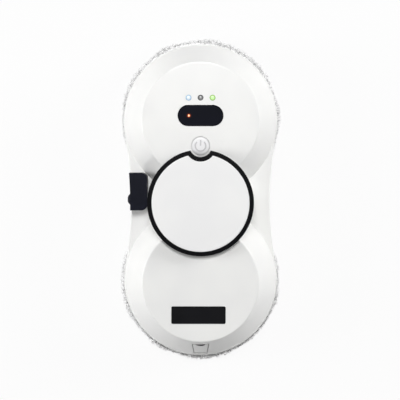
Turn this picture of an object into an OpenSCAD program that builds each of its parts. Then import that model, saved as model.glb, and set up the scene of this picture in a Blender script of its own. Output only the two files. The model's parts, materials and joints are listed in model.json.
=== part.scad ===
// Window cleaning robot with two turning cleaning discs.
// It lies on its cloths: X across, Y along, Z up, origin on the glass midway between the discs.

/* [Housing] */
// Radius of a lobe at the rim
lobe_r = 72; // [71:0.25:73.5]
// Clear distance between the rims of the two lobes
lobe_gap = 5; // [3:0.5:7]
// How far the waist is drawn in from the lobes, on each side
waist_inset = 6.8; // [5.6:0.1:7.6]
// Height of the underside of the lower shell
floor_z = 13; // [13:0.25:14]
// Height of the joint line between the two shells
seam_z = 16.5; // [16:0.25:17]
// Height of the shoulder where the lobes begin to slope
shoulder_z = 20; // [19.5:0.25:21]
// Height of the flat tops of the lobes
crown_z = 56; // [55.5:0.25:59]
// Horizontal run of the slope round a lobe
slope_run = 17.5; // [17:0.1:18]
// Rounding between a flat top and its slope
crown_edge_r = 1.6; // [1:0.1:2.4]
// Chamfer of the shoulder's outer edge
shoulder_chamfer = 0.8; // [0.5:0.1:0.9]
// Width of the ledge between the rim and the foot of the slope
ledge = 1; // [0.95:0.05:1.3]
// Thickness of the moulded walls
wall = 2.2; // [1.8:0.1:2.4]
// Radius of the screw bosses
boss_r = 4; // [3.4:0.1:4.6]
// Distance of the screw bosses from the lobe's edge
boss_inset = 10; // [9.5:0.1:11]

/* [Centre vent] */
// How far the black vent ring's radius falls short of a lobe's radius
ring_inset = 23.7; // [22.5:0.1:24.5]
// Width of the ring's visible band
ring_band = 3.9; // [3.4:0.1:4.4]
// Height of the ring above the flat tops
ring_rise = 8.4; // [7.8:0.1:10]
// Clear radius of the ring's notch around the power button
notch_r = 10.1; // [9.6:0.1:10.8]
// How far the ring stands out over the round tower that carries it
ring_overhang = 2; // [1.6:0.1:2.4]
// Height of the tower's step above the flat tops
tower_step = 1; // [0.8:0.1:1.4]
// Number of air slots round the ring
slot_count = 60; // [40:1:66]
// Width of one air slot
slot_w = 3; // [2.4:0.1:3.4]
// Height of one air slot
slot_h = 2.6; // [2:0.1:2.8]
// Thickness of the round cover
cover_t = 4.4; // [3.6:0.1:4.6]
// Rounding of the cover's top edge
cover_edge_r = 0.8; // [0.4:0.1:1.2]

/* [Controls] */
// Distance of the button's centre outside the ring's edge
button_offset = 3.3; // [3:0.1:3.8]
// Radius of the power button
button_r = 8.4; // [7.8:0.1:8.6]
// Height of the button above the flat top
button_rise = 1.3; // [1:0.1:2]
// Travel of the button
button_travel = 0.8; // [0.5:0.1:0.9]
// Distance from the window's centre to the indicators, as a share of a flat top's radius
window_gap_share = 0.3028; // [0.2948:0.001:0.3068]
// Length of the receiver window
window_l = 41.6; // [38:0.5:44]
// Width of the receiver window as a share of a flat top's radius
window_w_share = 0.357; // [0.348:0.001:0.366]
// Distance of the indicators from the far edge of the board below them
indicator_inset = 2.1; // [2:0.1:3]
// Spacing of the indicators
indicator_pitch = 10.9; // [9:0.1:12]
// Radius of an indicator
indicator_r = 2.5; // [2:0.1:2.8]
// Offset of the standby light from the window's middle
standby_offset = 10.6; // [8:0.2:12]
// Length of the dark plate on the lower lobe
plate_l = 49.7; // [44:0.5:54]
// Width of the dark plate
plate_w = 16.1; // [14:0.5:18]
// Distance of the dark plate from the centre of its lobe
plate_offset = 28.7; // [26:0.1:31]

/* [Cleaning discs] */
// Distance of a disc's axis outside the centre of its lobe
disc_offset = 2; // [1.2:0.1:3]
// How far a disc carrier is smaller than its lobe, in radius
carrier_inset = 2.4; // [1.8:0.1:3.4]
// Height of the carrier's top
carrier_top_z = 10.4; // [9.8:0.1:10.6]
// Thickness of the carrier's moulding
carrier_t = 2.2; // [1.8:0.1:2.4]
// Width of the carrier's ring that the cloth lies on
land_w = 23.6; // [22:0.1:25]
// Number of suction slots in a carrier
suction_slots = 12; // [8:1:16]
// Thickness of the cleaning cloth
cloth_t = 3.2; // [2.6:0.1:3.6]
// Thickness of the cloth's elastic edge on the carrier
hem_t = 1.7; // [1.2:0.1:1.8]
// Width of the cloth's elastic edge on the carrier
hem_w = 9; // [7:0.5:12]
// Radius of a disc spindle
spindle_r = 4; // [3.5:0.1:4.4]

/* [Disc drive] */
// Pitch radius of the gear on the disc spindle, as a share of a flat top's radius
gear_share = 0.4486; // [0.442:0.0002:0.452]
// Teeth of the gear on the disc spindle
spindle_teeth = 48; // [46:1:49]
// Teeth of the idler's large gear
idler_teeth = 36; // [34:1:37]
// Teeth of the idler's small gear and of the motor pinion
pinion_teeth = 12; // [12:1:13]
// Face width of the lower gears
lower_face_w = 5; // [4.4:0.1:5.2]
// Face width of the upper gears
upper_face_w = 4; // [3.4:0.1:4.2]
// Play between meshing teeth, along the pitch circle
tooth_play = 0.24; // [0.2:0.01:0.3]
// Radius of a drive motor's can
motor_r = 12.2; // [11.5:0.1:12.4]
// Gap between a drive motor and the edge of the flat top over it
motor_gap = 3.1; // [2.6:0.1:4]
// Radius of the idler's axle
axle_r = 2; // [1.6:0.1:2.2]

/* [Suction fan] */
// Gap between the fan housing and the tower's wall
fan_case_gap = 3.1; // [2.9:0.1:4.4]
// Thickness of the fan housing
fan_wall = 1.8; // [1.4:0.1:2.2]
// Width of the air channel round the impeller
impeller_gap = 7.2; // [5.4:0.1:9]
// Height of the impeller's blades
blade_h = 10.5; // [9:0.1:11]
// Number of impeller blades
blade_count = 9; // [7:1:12]
// Radius of the fan's air inlet
inlet_r = 16; // [14:0.5:18]
// Radius of the fan motor's can
fan_motor_r = 14; // [12:0.5:15]
// Height of the fan motor's can
fan_motor_h = 15; // [12:0.5:16]

/* [Electronics] */
// Width of the main board as a share of a flat top's radius
board_w_share = 1.16; // [1.12:0.01:1.22]
// Gap between the main board and the fan housing
board_gap = 3.5; // [3:0.1:4.5]
// Thickness of the main board
board_t = 1.6; // [1.2:0.1:1.8]
// Radius of a battery cell as a share of a flat top's radius
cell_r_share = 0.1327; // [0.1307:0.0005:0.1337]
// Length of a battery cell as a share of a flat top's radius
cell_l_share = 0.9346; // [0.9:0.002:0.94]

/* [Power port] */
// Half width of the flap at its top
flap_top_half = 7.8; // [7:0.1:8.4]
// Half width of the flap at its hinge
flap_foot_half = 6.1; // [5.6:0.1:6.6]
// Length of the flap up the slope
flap_l = 30; // [27:0.5:31]
// Distance of the flap's foot from the shoulder, up the slope
flap_start = 2; // [1.6:0.1:2.6]
// Radius of the flap's hinge barrel
barrel_r = 1.6; // [1.4:0.1:1.8]
// Radius of the flap's hinge pin
flap_pin_r = 0.75; // [0.6:0.05:0.8]
// Half width of the nail notch
nail_half = 4.6; // [3.6:0.1:5]
// Depth of the nail notch
nail_depth = 4; // [3:0.1:4.6]
// Depth of the pocket behind the flap
pocket_depth = 11; // [9:0.5:12]
// Radius of the power inlet's bore
inlet_bore_r = 2.8; // [2.6:0.05:3.2]

/* [Spray unit] */
// Length of the spray unit along the waist
spray_l = 34.6; // [33:0.2:36]
// Distance of the spray unit's upper end from the middle
spray_end_y = 26.4; // [25.5:0.1:27]
// Gap between the spray unit and the tower
spray_gap = 3.2; // [3:0.1:4]
// Height of the spray unit's top
spray_top_z = 38; // [37:0.25:40]
// Radius of the spray unit's inner corners
spray_corner_r = 5.5; // [4:0.1:6.5]
// Thickness of the spray unit's walls
spray_wall = 1.6; // [1.3:0.1:1.9]
// Radius of the nozzle's ball
nozzle_r = 6.4; // [6:0.1:6.6]
// Distance by which the nozzle stands out of the waist
nozzle_out = 3.2; // [2.6:0.1:3.8]
// Distance of the nozzle from the middle
nozzle_y = 1.7; // [1.4:0.1:2.2]
// Radius of the filler plug's stem
plug_r = 4.6; // [4:0.1:4.8]

/* [Hidden] */
$fn = 96;

// Clearances
run_gap = 0.05; // a shaft in its bush
seat_gap = 0.15; // a piece set into another
soft_gap = 0.3; // a soft or a turning piece and its neighbour
over = 1; // how far a cut runs past a face

// Housing outline: two circles joined by hollow arcs that touch both
lobe_y = lobe_r + lobe_gap / 2;
waist_half = lobe_r - waist_inset;
waist_arc_r = (waist_half^2 + lobe_y^2 - lobe_r^2) / (2 * (lobe_r - waist_half));
arc_x = waist_half + waist_arc_r;
lean = atan2(lobe_y, arc_x);
lobe_steps = 60;
waist_steps = 12;
edge_steps = 4;

// Slope of the lobes
foot_r = lobe_r - ledge;
crown_r = foot_r - slope_run;
slope = atan2(crown_z - shoulder_z, slope_run);
skin = wall / sin(slope);
ceiling_z = crown_z - wall;
floor_top_z = floor_z + wall;
lip_t = 1.2;
lip_h = 1;

// Screws and their bosses
screw_r = 1.4;
screw_head_r = 2.7;
screw_head_h = 1.7;
screw_l = 15;
boss_angles = [55, 125, 195, 345];
boss_reach = lobe_r - boss_inset;
boss_top_z = shoulder_z + screw_l;

// Central tower, ring and cover
ring_r = lobe_r - ring_inset;
tower_r = ring_r - ring_overhang;
tower_top_z = crown_z + tower_step;
ring_top_z = crown_z + ring_rise;
ring_floor_z = tower_top_z + slot_h + wall / 2;
ring_ledge = 2.4;
opening_r = tower_r - wall - ring_band;
opening_notch_r = notch_r + ring_band + ring_ledge;
cover_z = ring_floor_z + wall / 2;

// Controls
button_y = ring_r + button_offset;
button_flange = 1.2;
button_flange_t = 1;
window_t = 1.4;
window_ledge = 1.8;
window_steps = 24;
standby_r = 1;
indicator_flange = 0.8;
indicator_rise = 0.5;
plate_t = 0.4;
plate_corner_r = 1.4;
plate_x = -1.9;
plate_y = lobe_y + plate_offset;
corner_steps = 6;

// Heights inside
bearing_boss_r = 9;
bearing_r = 6.5;
bearing_flange_r = 8;
bearing_flange_t = 0.8;
hub_gap = 0.6;
hub_r = 11;
disc_y = lobe_y + disc_offset;
carrier_r = lobe_r - carrier_inset;
suction_r = carrier_r - land_w;
land_z = cloth_t;
web_z = land_z + carrier_t + hub_gap;
hub_z = land_z + carrier_t;
hub_top_z = web_z + carrier_t + hub_gap;
bearing_z = hub_top_z + hub_gap;
bearing_top_z = floor_top_z + bearing_flange_t;
lower_gear_z = bearing_top_z + bearing_flange_t + hub_gap;
lower_gear_top_z = lower_gear_z + lower_face_w;
upper_gear_z = lower_gear_top_z + hub_gap;
upper_gear_top_z = upper_gear_z + upper_face_w;
gear_plate_z = upper_gear_top_z + hub_gap;
gear_plate_t = 2;
motor_z = gear_plate_z + gear_plate_t;
motor_top_z = ceiling_z - hub_gap;
spindle_top_z = lower_gear_top_z + hub_gap / 2;

// Gear train of one disc, seen from the disc's axis; the motor lies along +Y
pressure = 25;
spindle_pitch_r = crown_r * gear_share;
gear_module = 2 * spindle_pitch_r / spindle_teeth;
addendum = 0.9 * gear_module;
dedendum = 1.15 * gear_module;
flank_steps = 3;
motor_reach = crown_r - wall - motor_r - motor_gap - disc_offset;
idler_pitch_r = gear_module * idler_teeth / 2;
pinion_pitch_r = gear_module * pinion_teeth / 2;
idler_reach = spindle_pitch_r + pinion_pitch_r;
pinion_reach = idler_pitch_r + pinion_pitch_r;
idler_y = (idler_reach^2 - pinion_reach^2 + motor_reach^2) / (2 * motor_reach);
idler_x = sqrt(idler_reach^2 - idler_y^2);
to_idler = atan2(idler_y, idler_x);
to_motor = atan2(motor_reach - idler_y, -idler_x);
lower_turn = -90;
post_r = 3.2;
post_gap = 1.2;
shaft_r = 1;
motor_boss_r = 3.9;
motor_bore_l = 2.4;

// Suction slots
slot_near_r = bearing_boss_r + 9;
rib_t = 1.8;
seal_t = 2;
seal_r = suction_r - 2 * carrier_t - seal_t;
suction_slot_share = 0.6;
suction_slot_l = (seal_r - slot_near_r) * suction_slot_share;
suction_slot_w = 4.5;

// Fan
fan_lift = 3.3;
fan_case_r = tower_r - wall - fan_case_gap;
impeller_r = fan_case_r - fan_wall - impeller_gap;
fan_case_z = floor_top_z + fan_lift;
fan_case_top_z = ceiling_z - soft_gap;
fan_foot_r = 3;
fan_foot_reach = 30;
blade_z = fan_case_z + 2.2 * fan_wall;
blade_t = 1.4;
blade_root_r = 13;
blade_sweep = 52;
blade_steps = 6;
back_t = 1.5;
impeller_hub_r = 6;
fan_shaft_r = 1.6;
fan_mount_z = blade_z + blade_h + back_t + fan_wall;
fan_mount_t = 2;
fan_mount_rim = 2.4;
vane_count = 9;
vane_t = 1.6;
fan_motor_z = fan_mount_z + fan_mount_t;

// Main board
board_motor_gap = 0.9;
indicator_y = disc_y + motor_reach - motor_r - board_motor_gap - indicator_inset;
window_w = crown_r * window_w_share;
window_gap = crown_r * window_gap_share;
window_y = indicator_y - window_gap;
board_w = crown_r * board_w_share;
board_near_y = fan_case_r + board_gap;
board_far_y = disc_y + motor_reach - motor_r - board_motor_gap;
board_z = 46.4;
board_top_z = board_z + board_t;
standoff_r = 2.6;
standoff_inset = 5;
board_screw_r = 1;
board_screw_head_r = 2;
board_screw_head_h = 1.2;
switch_w = 6.2;
switch_h = 3.6;
plunger_r = 1.7;
plunger_l = 2.4;
button_z = board_top_z + switch_h + button_travel + seat_gap;

// Backup battery in the lower lobe
cell_gap = 0.3;
cell_r = crown_r * cell_r_share;
cell_l = crown_r * cell_l_share;
cell_x_share = 0.443;
cell_x = crown_r * cell_x_share;
tray_z = lower_gear_top_z + hub_gap * 1.5;
tray_t = 1.2;
tray_lip = 5;
tray_post_r = 3;
tray_post_x = 2 * cell_r - tray_post_r + over;
tray_post_y = cell_l / 2 + tray_t + soft_gap + over;

// Power port, in a frame laid on the slope: v runs up the slope, w out of it
flap_gap = 0.25;
flap_sag = flap_foot_half^2 / (2 * foot_r);
flap_pivot_v = flap_start + barrel_r + flap_sag;
flap_pivot_w = -(barrel_r + flap_sag);
pocket_wall = 1.6;
pocket_half = flap_foot_half + 0.4 * pocket_wall;
pocket_foot_v = flap_pivot_v + barrel_r + flap_gap + pocket_wall;
pocket_top_v = flap_start + flap_l - flap_gap;
pocket_front_w = -(wall + flap_gap);
pocket_back_w = pocket_front_w - pocket_depth;
inlet_v = flap_start + flap_l * 0.6;
inlet_body_r = 4.8;
inlet_body_l = 11;
inlet_flange_r = 5.6;
inlet_flange_t = 1.2;
inlet_bore_l = 9.5;
inlet_pin_r = 1.05;

// Spray unit at the left of the waist
spray_inner_x = tower_r + spray_gap;
spray_z = floor_top_z + seat_gap;
spray_start_y = spray_end_y - spray_l;
nozzle_x = -(waist_half + nozzle_out - nozzle_r);
nozzle_z = (spray_z + spray_top_z) / 2 + 0.5 * spray_wall;
nozzle_back_x = nozzle_x + 2 * spray_wall;
nozzle_hole_r = 1.2;
nozzle_mouth_r = 2 * nozzle_hole_r;
nozzle_steps = 10;
mist_t = 1;
wick_r = 1.8;
wick_x = nozzle_back_x + mist_t + seat_gap + wick_r;
tank_start_y = nozzle_y + nozzle_r + spray_wall;
plug_x = -(spray_inner_x + waist_half) / 2;
plug_y = (tank_start_y + spray_end_y - spray_wall) / 2;
plug_head_r = plug_r + 1;
plug_head_t = 0.8;
plug_l = 4.4;

// Points

function polar(r, a) = [r * cos(a), r * sin(a)];

function arc_points(centre, r, from, to, steps, skip = 0) =
    [for (i = [skip : steps - skip]) centre + polar(r, from + (to - from) * i / steps)];

// The housing's outline, moved inwards by inset.
function outline_points(inset = 0) = concat(
    arc_points([0, lobe_y], lobe_r - inset, -lean, 180 + lean, lobe_steps),
    arc_points([-arc_x, 0], waist_arc_r + inset, lean, -lean, waist_steps, 1),
    arc_points([0, -lobe_y], lobe_r - inset, 180 - lean, 360 + lean, lobe_steps),
    arc_points([arc_x, 0], waist_arc_r + inset, 180 + lean, 180 - lean, waist_steps, 1)
);

// A rectangle round the origin with rounded corners.
function rounded_points(length, width, r, steps = corner_steps) = [
    for (corner = [[1, 1, 0], [-1, 1, 90], [-1, -1, 180], [1, -1, 270]])
        each arc_points([corner.x * (length / 2 - r), corner.y * (width / 2 - r)],
            r, corner.z, corner.z + 90, steps)
];

function involute(a) = tan(a) * 180 / PI - a;

// Half the angle that a tooth spans at radius r.
function tooth_half(r, pitch_r, teeth) =
    90 / teeth - tooth_play / (4 * pitch_r) * 180 / PI + involute(pressure)
    - involute(acos(min(1, pitch_r * cos(pressure) / r)));

function gear_points(teeth, phase) =
    let (
        pitch_r = gear_module * teeth / 2,
        root_r = pitch_r - dedendum,
        tip_r = pitch_r + addendum,
        start_r = max(root_r, pitch_r * cos(pressure)),
        flank = [for (i = [0 : flank_steps]) start_r + (tip_r - start_r) * i / flank_steps],
        radii = root_r < start_r ? concat([root_r], flank) : flank,
        last = len(radii) - 1
    )
    [for (tooth = [0 : teeth - 1])
        let (middle = phase + tooth * 360 / teeth)
            for (i = [0 : 2 * last + 1])
                let (
                    r = radii[i <= last ? i : 2 * last + 1 - i],
                    side = i <= last ? -1 : 1
                )
                    polar(r, middle + side * tooth_half(r, pitch_r, teeth))];

// Shared shapes

module both_lobes() {
    for (side = [-1, 1]) translate([0, side * lobe_y, 0]) children();
}

module upper_disc_place() translate([0, disc_y, 0]) children();

module lower_disc_place() translate([0, -disc_y, 0]) rotate(lower_turn) children();

module idler_place() translate([idler_x, idler_y, 0]) children();

module motor_place() translate([0, motor_reach, 0]) children();

// Moves a shape from the frame laid on the slope to the lower end of the housing.
module on_slope() {
    translate([0, -(lobe_y + foot_r), shoulder_z]) rotate([slope, 0, 0]) children();
}

// A solid whose walls follow the outline; each layer is [inset, height].
module outline_loft(layers) {
    ring = len(outline_points());
    last = (len(layers) - 1) * ring;
    half = ring / 2;
    mid = lobe_steps / 2;
    right = [for (k = [0 : half]) (mid - k + ring) % ring];
    left = [for (k = [0 : half]) (mid + k) % ring];
    cap = concat(
        [[right[1], right[0], left[1]]],
        [for (k = [1 : half - 2]) [right[k + 1], right[k], left[k], left[k + 1]]],
        [[right[half], right[half - 1], left[half - 1]]]
    );
    polyhedron(
        points = [for (layer = layers) for (p = outline_points(layer[0])) [p.x, p.y, layer[1]]],
        faces = concat(
            cap,
            [for (f = cap) [for (i = [len(f) - 1 : -1 : 0]) last + f[i]]],
            [for (j = [0 : len(layers) - 2]) for (i = [0 : ring - 1])
                [j * ring + i, (j + 1) * ring + i,
                    (j + 1) * ring + (i + 1) % ring, j * ring + (i + 1) % ring]]
        )
    );
}

module outline_slab(inset, from, to) {
    translate([0, 0, from]) linear_extrude(to - from) polygon(outline_points(inset));
}

module tube(outer, inner, from, to) {
    translate([0, 0, from]) difference() {
        cylinder(h = to - from, r = outer);
        translate([0, 0, -over]) cylinder(h = to - from + 2 * over, r = inner);
    }
}

module rod(r, from, to) {
    translate([0, 0, from]) cylinder(h = to - from, r = r);
}

module rounded_slab(length, width, r, from, to) {
    translate([0, 0, from]) linear_extrude(to - from) polygon(rounded_points(length, width, r));
}

// Housing

// One lobe turned as a solid: straight rim, slope and flat top with a rounded edge.
module lobe_solid() {
    edge_in = crown_edge_r * tan(slope / 2);
    rotate_extrude() polygon(concat(
        [[0, seam_z], [foot_r, seam_z], [foot_r, shoulder_z]],
        arc_points([crown_r - edge_in, crown_z - crown_edge_r], crown_edge_r, 90 - slope, 90,
            edge_steps),
        [[0, crown_z]]
    ));
}

// The hollow of one lobe; gap makes it smaller all round.
module lobe_hollow(gap = 0) {
    top = ceiling_z - gap;
    foot = foot_r - skin - gap / sin(slope);
    rotate_extrude() polygon([
        [0, seam_z - over], [foot, seam_z - over], [foot, shoulder_z],
        [foot - (top - shoulder_z) / tan(slope), top], [0, top]
    ]);
}

// The round shape of the vent ring with its notch for the power button.
module notched_circle(inset) {
    difference() {
        circle(r = ring_r - inset);
        translate([0, button_y]) circle(r = notch_r + inset);
    }
}

module flap_outline(grow) {
    top_v = flap_start + flap_l + grow;
    polygon([
        [-flap_foot_half - grow, flap_start - grow], [flap_foot_half + grow, flap_start - grow],
        [flap_top_half + grow, top_v], [-flap_top_half - grow, top_v]
    ]);
}

// Outline of the spray unit, its left side cut to the housing's outline.
module spray_outline(grow, inset = 0) {
    inner_x = spray_inner_x - grow;
    far_x = waist_half + spray_wall;
    from_y = spray_start_y - grow;
    to_y = spray_end_y + grow;
    r = spray_corner_r;
    intersection() {
        polygon(concat(
            [[-far_x, to_y], [-far_x, from_y]],
            arc_points([-inner_x - r, from_y + r], r, 270, 360, corner_steps),
            arc_points([-inner_x - r, to_y - r], r, 0, 90, corner_steps)
        ));
        polygon(outline_points(grow > 0 ? -over : inset));
    }
}

module boss_places() {
    for (side = [0, 1]) mirror([0, side, 0]) translate([0, lobe_y, 0])
        for (a = boss_angles) rotate(a) translate([boss_reach, 0, 0]) children();
}

module standoff_places() {
    for (x = [-1, 1]) for (y = [board_near_y + standoff_inset, board_far_y - standoff_inset])
        translate([x * (board_w / 2 - standoff_inset), y, 0]) children();
}

module top_shell_skin() {
    outline_loft([
        [0, seam_z], [0, shoulder_z - shoulder_chamfer], [shoulder_chamfer, shoulder_z]
    ]);
    both_lobes() lobe_solid();
    difference() {
        rod(tower_r, seam_z, tower_top_z);
        translate([0, button_y, 0]) rod(notch_r + ring_r - tower_r, crown_z, tower_top_z + over);
    }
}

module top_shell() {
    color("whitesmoke") difference() {
        union() {
            difference() {
                top_shell_skin();
                outline_slab(wall, seam_z - over, shoulder_z - wall);
                both_lobes() lobe_hollow();
                rod(tower_r - wall, seam_z - over, ceiling_z);
            }
            intersection() {
                boss_places() rod(boss_r, seam_z, boss_top_z);
                both_lobes() lobe_hollow(-wall / 2);
            }
            standoff_places() rod(standoff_r, board_top_z, ceiling_z + over / 2);
            intersection() {
                flap_axis(barrel_r, flap_foot_half + wall);
                translate([0, -lobe_y, 0]) lobe_hollow(-wall / 2);
            }
        }
        translate([0, 0, ceiling_z - over]) linear_extrude(wall + tower_step + 2 * over)
            difference() {
                circle(r = opening_r);
                translate([0, button_y]) circle(r = opening_notch_r);
            }
        translate([0, button_y, 0]) rod(button_r + seat_gap, ceiling_z - over, crown_z + over);
        translate([0, window_y, 0]) {
            rounded_slab(window_l + 2 * seat_gap, window_w + 2 * seat_gap,
                window_w / 2, crown_z - window_t - seat_gap, crown_z + over);
            rounded_slab(window_l - 2 * window_ledge, window_w - 2 * window_ledge,
                window_w / 2 - window_ledge, ceiling_z - over, crown_z);
        }
        for (i = [-1 : 1]) translate([i * indicator_pitch, indicator_y, 0])
            rod(indicator_r + seat_gap, ceiling_z - over, crown_z + over);
        translate([plate_x, -plate_y, 0])
            rounded_slab(plate_l + 2 * seat_gap, plate_w + 2 * seat_gap, plate_corner_r,
                crown_z - plate_t * 0.75, crown_z + over);
        on_slope() translate([0, 0, -wall - 2 * over]) linear_extrude(wall + 4 * over)
            flap_outline(flap_gap);
        flap_axis(flap_pin_r + run_gap / 5, flap_foot_half + wall * 0.75);
        translate([0, 0, seam_z - over]) linear_extrude(spray_top_z - seam_z + over)
            spray_outline(seat_gap);
        boss_places() rod(screw_r + run_gap, seam_z - over, seam_z + screw_l);
        standoff_places() rod(board_screw_r + run_gap, board_top_z - over, ceiling_z);
    }
}

module suction_slot_places(count) {
    for (i = [0 : count - 1]) rotate(360 * (i + 0.5) / count) translate([slot_near_r, 0, 0])
        children();
}

// Posts that carry the gear plate of one disc; each is [x, y] from the disc's axis.
function gear_posts() = [
    [-(motor_r + post_r) * 0.8, motor_reach + post_r],
    [idler_x, idler_y] + polar(idler_pitch_r + addendum + post_r + post_gap, 40),
    [idler_x, idler_y] + polar(idler_pitch_r + addendum + post_r + post_gap, -15)
];

module disc_seat() {
    rod(bearing_boss_r, bearing_z, floor_top_z);
    idler_place() rod(axle_r + wall, floor_z, lower_gear_z - hub_gap / 2);
    for (p = gear_posts()) translate([p.x, p.y, 0]) rod(post_r, floor_z, gear_plate_z);
}

module disc_seat_cuts() {
    rod(bearing_r + run_gap / 5, bearing_z - over, floor_top_z + over);
    idler_place() rod(axle_r + run_gap / 5, floor_z + wall / 3, gear_plate_z);
    suction_slot_places(suction_slots)
        translate([0, -suction_slot_w / 2, floor_z - over])
            cube([suction_slot_l, suction_slot_w, wall + 2 * over]);
}

module bottom_shell() {
    edge = wall / 3;
    color("gainsboro") difference() {
        union() {
            difference() {
                outline_loft([[edge, floor_z], [0, floor_z + edge], [0, seam_z - run_gap]]);
                outline_slab(wall, floor_top_z, seam_z + over);
            }
            difference() {
                outline_slab(wall + seat_gap, floor_top_z - over / 2, seam_z + lip_h);
                outline_slab(wall + seat_gap + lip_t, floor_top_z - over, seam_z + 2 * lip_h);
                boss_places() rod(boss_r + 2 * seat_gap, seam_z, seam_z + 2 * lip_h);
                translate([0, 0, spray_z - over / 2]) linear_extrude(2 * over + lip_h)
                    spray_outline(2 * seat_gap);
            }
            boss_places() rod(boss_r, floor_z, seam_z - run_gap);
            upper_disc_place() disc_seat();
            lower_disc_place() disc_seat();
            for (x = [-1, 1]) for (y = [-1, 1])
                translate([-cell_x + x * tray_post_x, -disc_y + y * tray_post_y, 0])
                    rod(tray_post_r, floor_z, tray_z);
        }
        upper_disc_place() disc_seat_cuts();
        lower_disc_place() disc_seat_cuts();
        boss_places() {
            rod(screw_head_r + seat_gap, floor_z - over, floor_z + screw_head_h);
            rod(screw_r + run_gap, floor_z - over, seam_z + over);
        }
        translate([plug_x, plug_y, 0]) rod(plug_r + seat_gap / 2, floor_z - over, floor_top_z + over);
    }
}

module shell_screws() {
    color("silver") boss_places() {
        rod(screw_head_r, floor_z + seat_gap, floor_z + screw_head_h);
        rod(screw_r, floor_z + screw_head_h - over / 2, seam_z + screw_l - over);
    }
}

// Centre vent

module vent_ring() {
    color("black") difference() {
        union() {
            translate([0, 0, tower_top_z]) linear_extrude(ring_top_z - tower_top_z) difference() {
                notched_circle(0);
                notched_circle(ring_band);
            }
            translate([0, 0, ring_floor_z]) linear_extrude(cover_z - ring_floor_z) difference() {
                notched_circle(ring_band / 2);
                notched_circle(ring_band + ring_ledge);
            }
        }
        for (i = [0 : slot_count - 1])
            let (a = 360 * (i + 0.5) / slot_count)
                if (norm(polar(ring_r, a) - [0, button_y]) > notch_r + ring_band + slot_w)
                    rotate(a) translate([ring_r - 2 * ring_band, -slot_w / 2, tower_top_z + wall / 4])
                        cube([3 * ring_band, slot_w, slot_h - wall / 4]);
    }
}

module fan_cover() {
    rim = ring_band + seat_gap;
    top = cover_z + cover_t;
    color("white") union() {
        translate([0, 0, cover_z]) linear_extrude(cover_t - cover_edge_r) notched_circle(rim);
        for (i = [0 : edge_steps - 1])
            let (a = 90 * i / edge_steps, b = 90 * (i + 1) / edge_steps)
                translate([0, 0, top - cover_edge_r * (1 - sin(a)) - run_gap])
                    linear_extrude(cover_edge_r * (sin(b) - sin(a)) + run_gap)
                        notched_circle(rim + cover_edge_r * (1 - cos(b)));
    }
}

// Controls

module receiver_window() {
    top = crown_z - run_gap;
    color("black") translate([0, window_y, 0]) difference() {
        rounded_slab(window_l, window_w, window_w / 2 - run_gap, top - window_t, top);
        translate([-standby_offset, 0, 0]) rod(standby_r + run_gap, top - 2 * window_t, top + over);
    }
}

module standby_light() {
    color("orange") translate([-standby_offset, window_y, 0]) rod(standby_r, board_top_z, crown_z);
}

// A round lens with a slightly domed face and a flange under the shell.
module indicator(i) {
    dome_r = (indicator_r^2 + indicator_rise^2) / (2 * indicator_rise);
    translate([i * indicator_pitch, indicator_y, 0]) {
        rod(indicator_r, board_top_z, crown_z);
        rod(indicator_r + indicator_flange, ceiling_z - 2 * indicator_flange, ceiling_z - seat_gap);
        intersection() {
            translate([0, 0, crown_z + indicator_rise - dome_r]) sphere(r = dome_r);
            rod(indicator_r, crown_z - over / 2, crown_z + 2 * indicator_rise);
        }
    }
}

module left_indicator() color("lightblue") indicator(-1);

module middle_indicator() color("dimgray") indicator(0);

module right_indicator() color("lightgreen") indicator(1);

module dark_plate() {
    color("black") translate([plate_x, -plate_y, 0])
        rounded_slab(plate_l, plate_w, plate_corner_r, crown_z - plate_t * 0.75,
            crown_z + plate_t / 4);
}

module power_button() {
    color("white") translate([0, button_y, 0]) {
        rod(button_r, button_z, crown_z + button_rise);
        rod(button_r + button_flange, button_z, ceiling_z - button_flange_t / 2);
    }
}

module switch_plunger() {
    color("black") translate([0, button_y, 0]) rod(plunger_r, button_z - plunger_l, button_z);
}

module switch_case() {
    color("silver") translate([0, button_y, board_top_z]) difference() {
        translate([-switch_w / 2, -switch_w / 2, 0]) cube([switch_w, switch_w, switch_h]);
        rod(plunger_r + run_gap, switch_h - plunger_l, switch_h + over);
    }
}

module main_board() {
    mid_y = (board_near_y + board_far_y) / 2;
    color("seagreen") difference() {
        translate([0, mid_y, 0])
            rounded_slab(board_w, board_far_y - board_near_y, standoff_r, board_z, board_top_z);
        standoff_places() rod(board_screw_r + run_gap, board_z - over, board_top_z + over);
    }
}

// Parts soldered to the board's underside: controller, driver, choke and three connectors.
module board_components() {
    chip = 10;
    chip_t = 1.6;
    connector_w = 8;
    connector_h = 6;
    mid_y = (board_near_y + board_far_y) / 2;
    color("darkslategray") {
        translate([-chip, mid_y - chip / 2, board_z - chip_t]) cube([chip, chip, chip_t]);
        translate([chip / 2, mid_y + chip / 2, board_z - chip_t]) cube([chip, chip / 2, chip_t]);
        translate([chip, mid_y - chip, 0]) rod(chip / 2, board_z - connector_h, board_z);
        for (i = [-1 : 1])
            translate([i * 1.5 * connector_w - connector_w / 2,
                board_near_y + connector_w, board_z - connector_h])
                cube([connector_w, connector_w / 2, connector_h]);
    }
}

module board_screws() {
    color("silver") standoff_places() {
        rod(board_screw_head_r, board_z - board_screw_head_h, board_z);
        rod(board_screw_r, board_z - board_screw_head_h / 2, ceiling_z - wall / 2);
    }
}

// Suction fan

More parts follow.
